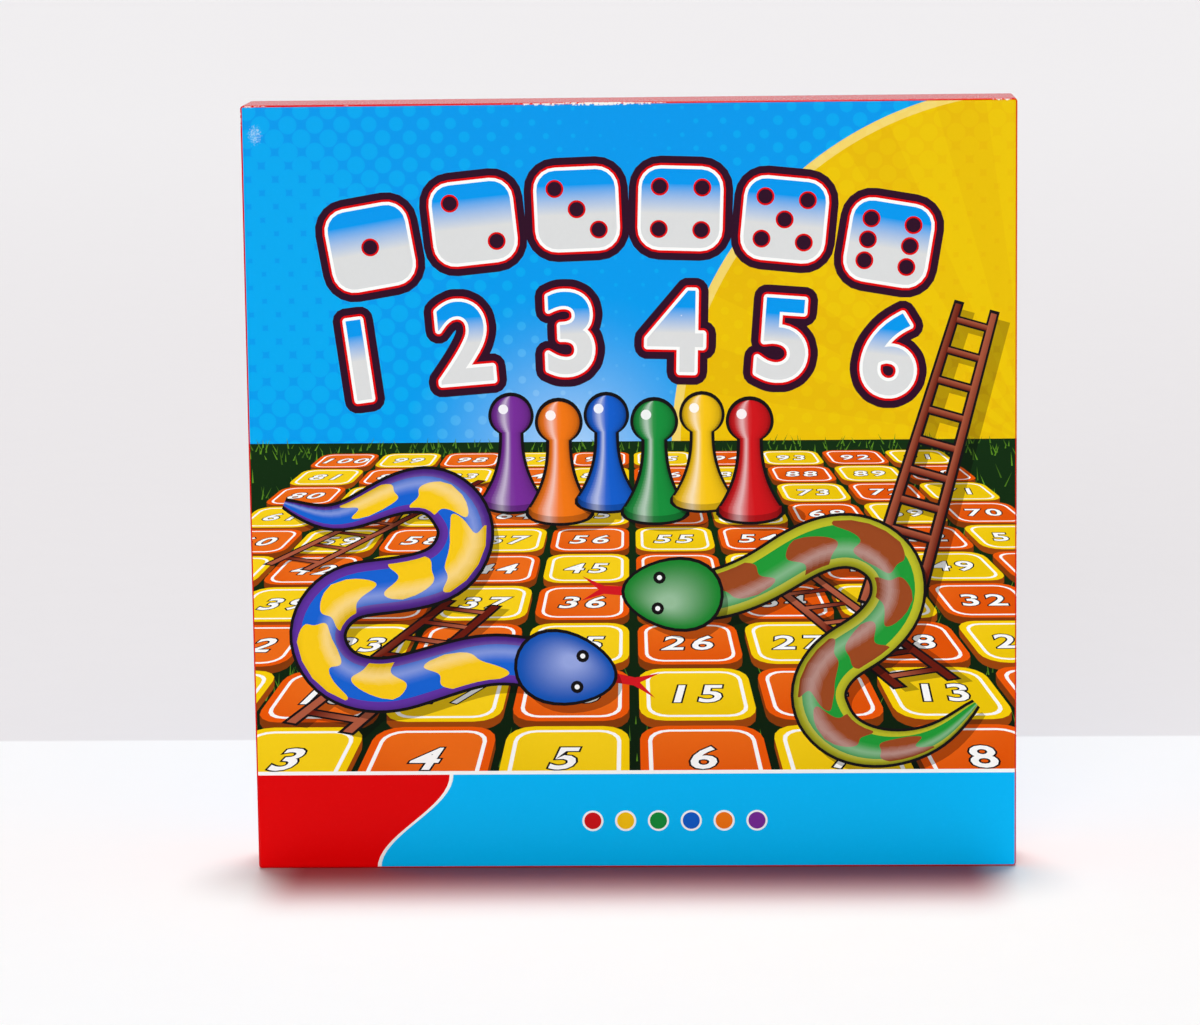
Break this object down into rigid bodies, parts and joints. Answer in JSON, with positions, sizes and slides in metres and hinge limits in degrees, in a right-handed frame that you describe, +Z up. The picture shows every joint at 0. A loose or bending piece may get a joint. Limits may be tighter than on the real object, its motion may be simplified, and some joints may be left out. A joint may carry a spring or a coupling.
{
  "type": "snakes and ladders set",
  "caption": "Boxed snakes and ladders set: rigid lid and tray holding a moulded insert, a folding board, a die, pawns and rules.",
  "frame": {"origin": "middle of the closed box's footprint, on the surface it stands on", "axes": "+Z up the printed picture, +X to the right across it, and the lid faces -Y"},
  "size_m": [0.266, 0.032, 0.268],
  "materials": {
    "greyboard": "uncoated pressed greyboard",
    "printed_paper": "printed, gloss laminated",
    "red_paper": "printed, gloss laminated",
    "stay_paper": "matt kraft tape",
    "insert_plastic": "formed sheet, satin",
    "board_greyboard": "uncoated pressed greyboard",
    "board_print": "printed, gloss varnished",
    "board_backing": "linen embossed paper",
    "leaflet_paper": "uncoated white paper",
    "die_plastic": "polished",
    "pip_paint": "painted",
    "pawn_red": "moulded",
    "pawn_yellow": "moulded",
    "pawn_green": "moulded",
    "pawn_blue": "moulded",
    "pawn_orange": "moulded",
    "pawn_purple": "moulded"
  },
  "bodies": {
    "tray": {"tray_shell": "greyboard", "tray_wrap": "red_paper", "tray_corner_stays": "stay_paper"},
    "lid": {"lid_shell": "greyboard", "lid_wrap": "printed_paper", "lid_corner_stays": "stay_paper"},
    "insert": {"moulded_insert": "insert_plastic"},
    "board": {"board_panel_right": "board_greyboard", "board_face_right": "board_print", "board_back_right": "board_backing"},
    "board_half": {"board_panel_left": "board_greyboard", "board_face_left": "board_print", "board_back_left": "board_backing"},
    "leaflet": {"rules_leaflet": "leaflet_paper"},
    "die": {"die": "die_plastic", "die_pips": "pip_paint"},
    "pawn_red": {"pawn_red": "pawn_red"},
    "pawn_yellow": {"pawn_yellow": "pawn_yellow"},
    "pawn_green": {"pawn_green": "pawn_green"},
    "pawn_blue": {"pawn_blue": "pawn_blue"},
    "pawn_orange": {"pawn_orange": "pawn_orange"},
    "pawn_purple": {"pawn_purple": "pawn_purple"}
  },
  "joints": [
    {"name": "lid_off", "type": "slide", "parent": "tray", "child": "lid", "axis": [0, -1, 0], "range_m": [0, 0.48]},
    {"name": "insert_out", "type": "slide", "parent": "tray", "child": "insert", "axis": [0, -1, 0], "range_m": [0, 0.015]},
    {"name": "board_out", "type": "slide", "parent": "tray", "child": "board", "axis": [0, -1, 0], "range_m": [0, 0.1652]},
    {"name": "board_fold", "type": "hinge", "parent": "board", "child": "board_half", "pos_m": [0, 0.0026, 0.134], "axis": [0, 0, -1], "range_deg": [0, 180]},
    {"name": "leaflet_out", "type": "slide", "parent": "insert", "child": "leaflet", "axis": [0, -1, 0], "range_m": [0, 0.0186]},
    {"name": "die_out", "type": "slide", "parent": "insert", "child": "die", "axis": [0, -1, 0], "range_m": [0, 0.0186]},
    {"name": "pawn_red_out", "type": "slide", "parent": "insert", "child": "pawn_red", "axis": [0, -1, 0], "range_m": [0, 0.0186]},
    {"name": "pawn_yellow_out", "type": "slide", "parent": "insert", "child": "pawn_yellow", "axis": [0, -1, 0], "range_m": [0, 0.0186]},
    {"name": "pawn_green_out", "type": "slide", "parent": "insert", "child": "pawn_green", "axis": [0, -1, 0], "range_m": [0, 0.0186]},
    {"name": "pawn_blue_out", "type": "slide", "parent": "insert", "child": "pawn_blue", "axis": [0, -1, 0], "range_m": [0, 0.0186]},
    {"name": "pawn_orange_out", "type": "slide", "parent": "insert", "child": "pawn_orange", "axis": [0, -1, 0], "range_m": [0, 0.0186]},
    {"name": "pawn_purple_out", "type": "slide", "parent": "insert", "child": "pawn_purple", "axis": [0, -1, 0], "range_m": [0, 0.0186]}
  ],
  "couplings": [
    {"joint": "insert_out", "follows": "lid_off", "ratio": 0.031},
    {"joint": "board_out", "follows": "lid_off", "ratio": 0.344},
    {"joint": "board_fold", "follows": "lid_off", "rad_per_m": 6.5449},
    {"joint": "leaflet_out", "follows": "lid_off", "ratio": 0.0387},
    {"joint": "die_out", "follows": "lid_off", "ratio": 0.0387},
    {"joint": "pawn_red_out", "follows": "lid_off", "ratio": 0.0387},
    {"joint": "pawn_yellow_out", "follows": "lid_off", "ratio": 0.0387},
    {"joint": "pawn_green_out", "follows": "lid_off", "ratio": 0.0387},
    {"joint": "pawn_blue_out", "follows": "lid_off", "ratio": 0.0387},
    {"joint": "pawn_orange_out", "follows": "lid_off", "ratio": 0.0387},
    {"joint": "pawn_purple_out", "follows": "lid_off", "ratio": 0.0387}
  ]
}
